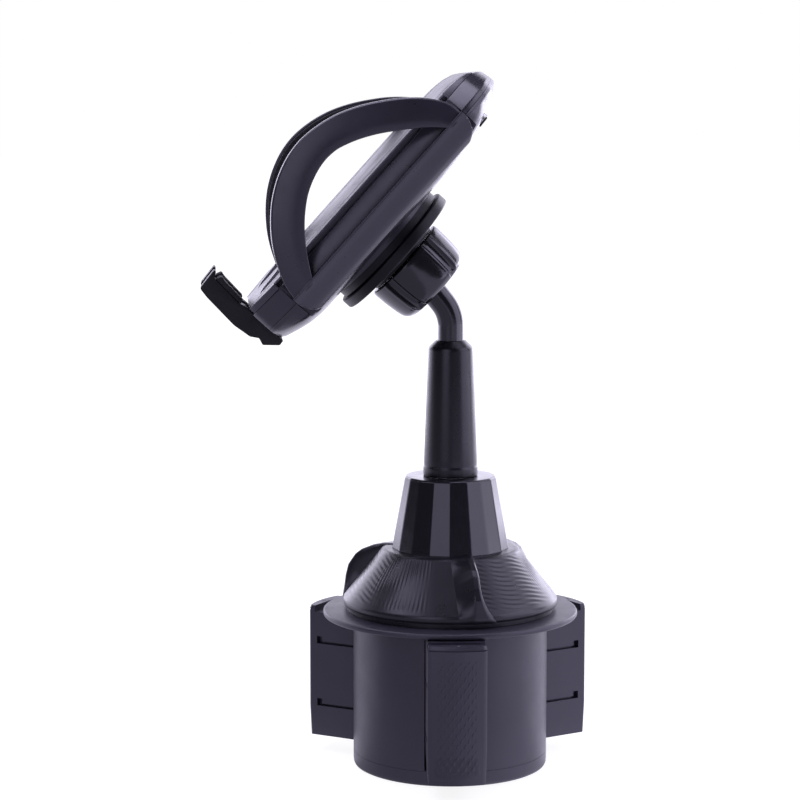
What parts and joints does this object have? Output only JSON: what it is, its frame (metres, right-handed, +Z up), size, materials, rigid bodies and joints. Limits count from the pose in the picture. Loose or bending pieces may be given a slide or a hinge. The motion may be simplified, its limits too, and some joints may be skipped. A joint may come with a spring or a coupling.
{
  "type": "car phone mount",
  "caption": "Phone holder for a car cup holder: an expanding round base with a dial, a bent neck on a faceted collar, a ball joint and a cradle with looped clamp arms.",
  "frame": {"origin": "centre of the base's flat underside, at the middle of the round cup", "axes": "+Z up along the base and the neck; the phone faces -Y, tipped back; X runs across the phone from arm to arm"},
  "size_m": [0.0946, 0.1328, 0.2349],
  "materials": {
    "base_plastic": "satin",
    "dial_plastic": "satin",
    "collar_plastic": "semi-gloss",
    "neck_plastic": "satin",
    "cradle_plastic": "semi-gloss",
    "face_plastic": "satin",
    "nylon": "natural",
    "pad_rubber": "matte",
    "wing_rubber": "fine embossed",
    "steel": "bright"
  },
  "bodies": {
    "base": {"base_shell": "base_plastic", "bottom_cap": "base_plastic", "cap_screws": "steel", "flange_deck": "base_plastic", "deck_screws": "steel", "neck_bush": "nylon"},
    "dial": {"dial": "dial_plastic", "cam_plate": "dial_plastic", "cam_screws": "steel"},
    "wing_1": {"wing_shell_1": "base_plastic", "wing_pad_1": "wing_rubber", "cam_pin_1": "steel"},
    "wing_2": {"wing_shell_2": "base_plastic", "wing_pad_2": "wing_rubber", "cam_pin_2": "steel"},
    "wing_3": {"wing_shell_3": "base_plastic", "wing_pad_3": "wing_rubber", "cam_pin_3": "steel"},
    "lock_collar": {"lock_collar": "collar_plastic"},
    "neck": {"neck_sleeve": "neck_plastic", "bent_arm": "neck_plastic", "pivot_screw": "steel", "pivot_washer": "steel"},
    "tilt_cup": {"tilt_cup": "nylon"},
    "swing_cup": {"swing_cup": "nylon"},
    "cradle": {"socket_disc": "cradle_plastic", "disc_screws": "steel", "rear_housing": "cradle_plastic", "front_cover": "cradle_plastic", "front_plate": "face_plastic", "housing_screws": "steel", "pinion_screw": "steel", "clamp_spring_right": "steel", "clamp_spring_left": "steel", "release_spring": "steel"},
    "ball_nut": {"ball_nut": "cradle_plastic"},
    "arm_right": {"arm_right": "cradle_plastic", "arm_pad_right": "pad_rubber"},
    "arm_left": {"arm_left": "cradle_plastic", "arm_pad_left": "pad_rubber"},
    "rack_pinion": {"rack_pinion": "nylon"},
    "release_slider": {"release_slider": "cradle_plastic"},
    "foot": {"foot": "cradle_plastic", "foot_pads": "pad_rubber"}
  },
  "joints": [
    {"name": "dial_turn", "type": "hinge", "parent": "base", "child": "dial", "pos_m": [0, 0, 0.06], "axis": [0, 0, 1], "range_deg": [0, 120]},
    {"name": "wing_slide_1", "type": "slide", "parent": "base", "child": "wing_1", "axis": [0.9989, -0.0471, 0], "range_m": [-0.01842, 0]},
    {"name": "wing_slide_2", "type": "slide", "parent": "base", "child": "wing_2", "axis": [-0.4587, 0.8886, 0], "range_m": [-0.01842, 0]},
    {"name": "wing_slide_3", "type": "slide", "parent": "base", "child": "wing_3", "axis": [-0.5402, -0.8415, 0], "range_m": [-0.01842, 0]},
    {"name": "collar_turn", "type": "hinge", "parent": "base", "child": "lock_collar", "pos_m": [0, 0, 0.085], "axis": [0, 0, 1], "range_deg": [0, 60]},
    {"name": "neck_swivel", "type": "hinge", "parent": "base", "child": "neck", "pos_m": [0, 0, 0.1], "axis": [0, 0, 1], "continuous": true},
    {"name": "ball_tilt", "type": "hinge", "parent": "neck", "child": "tilt_cup", "pos_m": [0, -0.01079, 0.16811], "axis": [1, 0, 0], "range_deg": [-29, 10]},
    {"name": "ball_swing", "type": "hinge", "parent": "tilt_cup", "child": "swing_cup", "pos_m": [0, -0.01079, 0.16811], "axis": [0, 0.6691, 0.7431], "range_deg": [-20, 20]},
    {"name": "ball_spin", "type": "hinge", "parent": "swing_cup", "child": "cradle", "pos_m": [0, -0.01079, 0.16811], "axis": [0, -0.7431, 0.6691], "continuous": true},
    {"name": "nut_turn", "type": "hinge", "parent": "cradle", "child": "ball_nut", "pos_m": [0, -0.01079, 0.16811], "axis": [0, -0.7431, 0.6691], "range_deg": [0, 90]},
    {"name": "clamp_right", "type": "slide", "parent": "cradle", "child": "arm_right", "axis": [1, 0, 0], "range_m": [0, 0.017]},
    {"name": "clamp_left", "type": "slide", "parent": "cradle", "child": "arm_left", "axis": [-1, 0, 0], "range_m": [0, 0.01701]},
    {"name": "pinion_turn", "type": "hinge", "parent": "cradle", "child": "rack_pinion", "pos_m": [0, -0.02526, 0.18194], "axis": [0, -0.7431, 0.6691], "range_deg": [-163, 0]},
    {"name": "release_push", "type": "slide", "parent": "cradle", "child": "release_slider", "axis": [0, 0.6691, 0.7431], "range_m": [0, 0.0025], "stiffness_N_per_m": 400, "springref_m": -0.002, "deforming": ["release_spring"]},
    {"name": "foot_slide", "type": "slide", "parent": "cradle", "child": "foot", "axis": [0, -0.6691, -0.7431], "range_m": [0, 0.014]}
  ],
  "couplings": [
    {"joint": "wing_slide_1", "follows": "dial_turn", "m_per_rad": -0.0087854},
    {"joint": "wing_slide_2", "follows": "dial_turn", "m_per_rad": -0.0087854},
    {"joint": "wing_slide_3", "follows": "dial_turn", "m_per_rad": -0.0087854},
    {"joint": "clamp_left", "follows": "clamp_right", "ratio": 1},
    {"joint": "pinion_turn", "follows": "clamp_right", "rad_per_m": -166.67}
  ]
}
